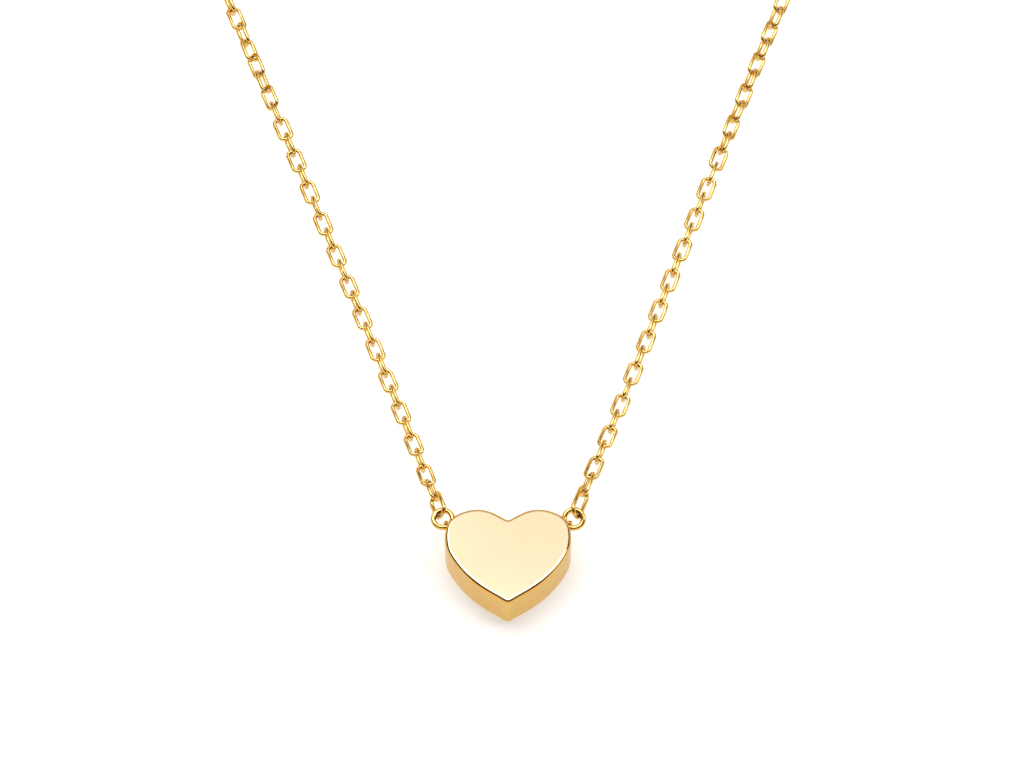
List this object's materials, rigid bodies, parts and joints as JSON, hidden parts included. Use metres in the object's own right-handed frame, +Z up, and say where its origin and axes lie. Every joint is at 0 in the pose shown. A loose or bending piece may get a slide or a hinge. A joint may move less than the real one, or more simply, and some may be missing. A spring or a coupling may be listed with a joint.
{
  "type": "heart pendant necklace",
  "caption": "Gold heart pendant, a flat plate with upright walls, held by a jump ring at each shoulder on a fine cable chain, lying flat as a closed loop with a plain clasp.",
  "frame": {"origin": "middle of the heart's flat back, on the surface that it rests on", "axes": "+Z up from the surface, out of the heart's face; +Y from the heart's tip up along the necklace towards the clasp; +X to the right as worn side seen from above"},
  "size_m": [0.0923, 0.1727, 0.0026],
  "materials": {
    "heart_gold": "polished pale gold",
    "chain_gold": "polished yellow gold"
  },
  "bodies": {
    "root": {"heart": "heart_gold", "jump_ring_left": "chain_gold", "jump_ring_right": "chain_gold", "chain_left": "chain_gold", "chain_right": "chain_gold", "clasp": "chain_gold"}
  },
  "joints": []
}
